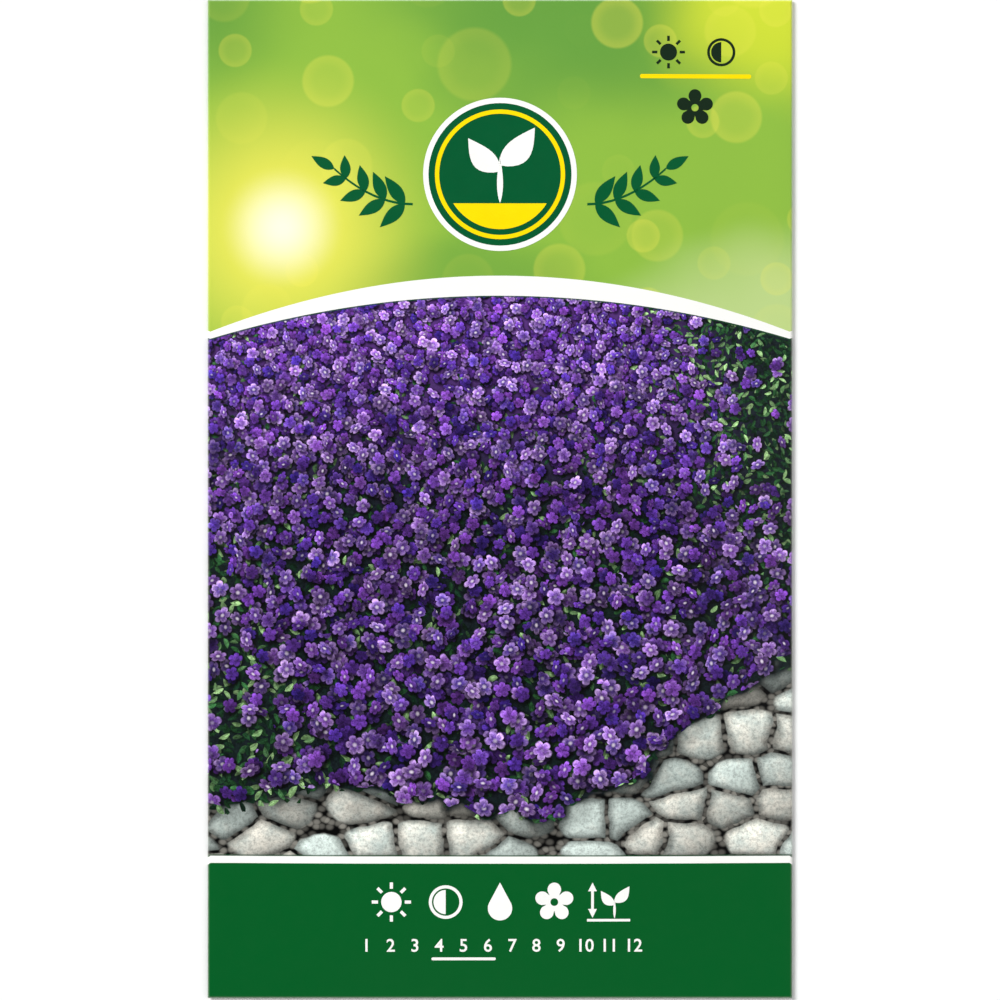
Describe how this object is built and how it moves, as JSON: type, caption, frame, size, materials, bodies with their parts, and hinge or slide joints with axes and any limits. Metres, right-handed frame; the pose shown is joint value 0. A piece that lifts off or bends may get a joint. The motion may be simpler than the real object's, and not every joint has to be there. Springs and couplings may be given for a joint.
{
  "type": "seed packet",
  "caption": "Closed paper seed packet with a printed picture of violet flowers, folded from one sheet round a sealed foil sachet of seed.",
  "frame": {"origin": "middle of the packet's footprint, on the surface that it lies on", "axes": "+Z out of the printed front, +Y towards the packet's top edge, +X to the right as the front is seen"},
  "size_m": [0.082, 0.14, 0.003],
  "materials": {
    "coated_paper": "printed, semi-gloss",
    "glue": "dried adhesive film",
    "foil_laminate": "satin",
    "seed_coat": "matt, pitted"
  },
  "bodies": {
    "root": {"paper_envelope": "coated_paper", "side_seam_glue": "glue", "bottom_flap_glue": "glue", "top_flap_glue": "glue", "sachet_back_foil": "foil_laminate", "sachet_front_foil": "foil_laminate", "seeds": "seed_coat"}
  },
  "joints": []
}
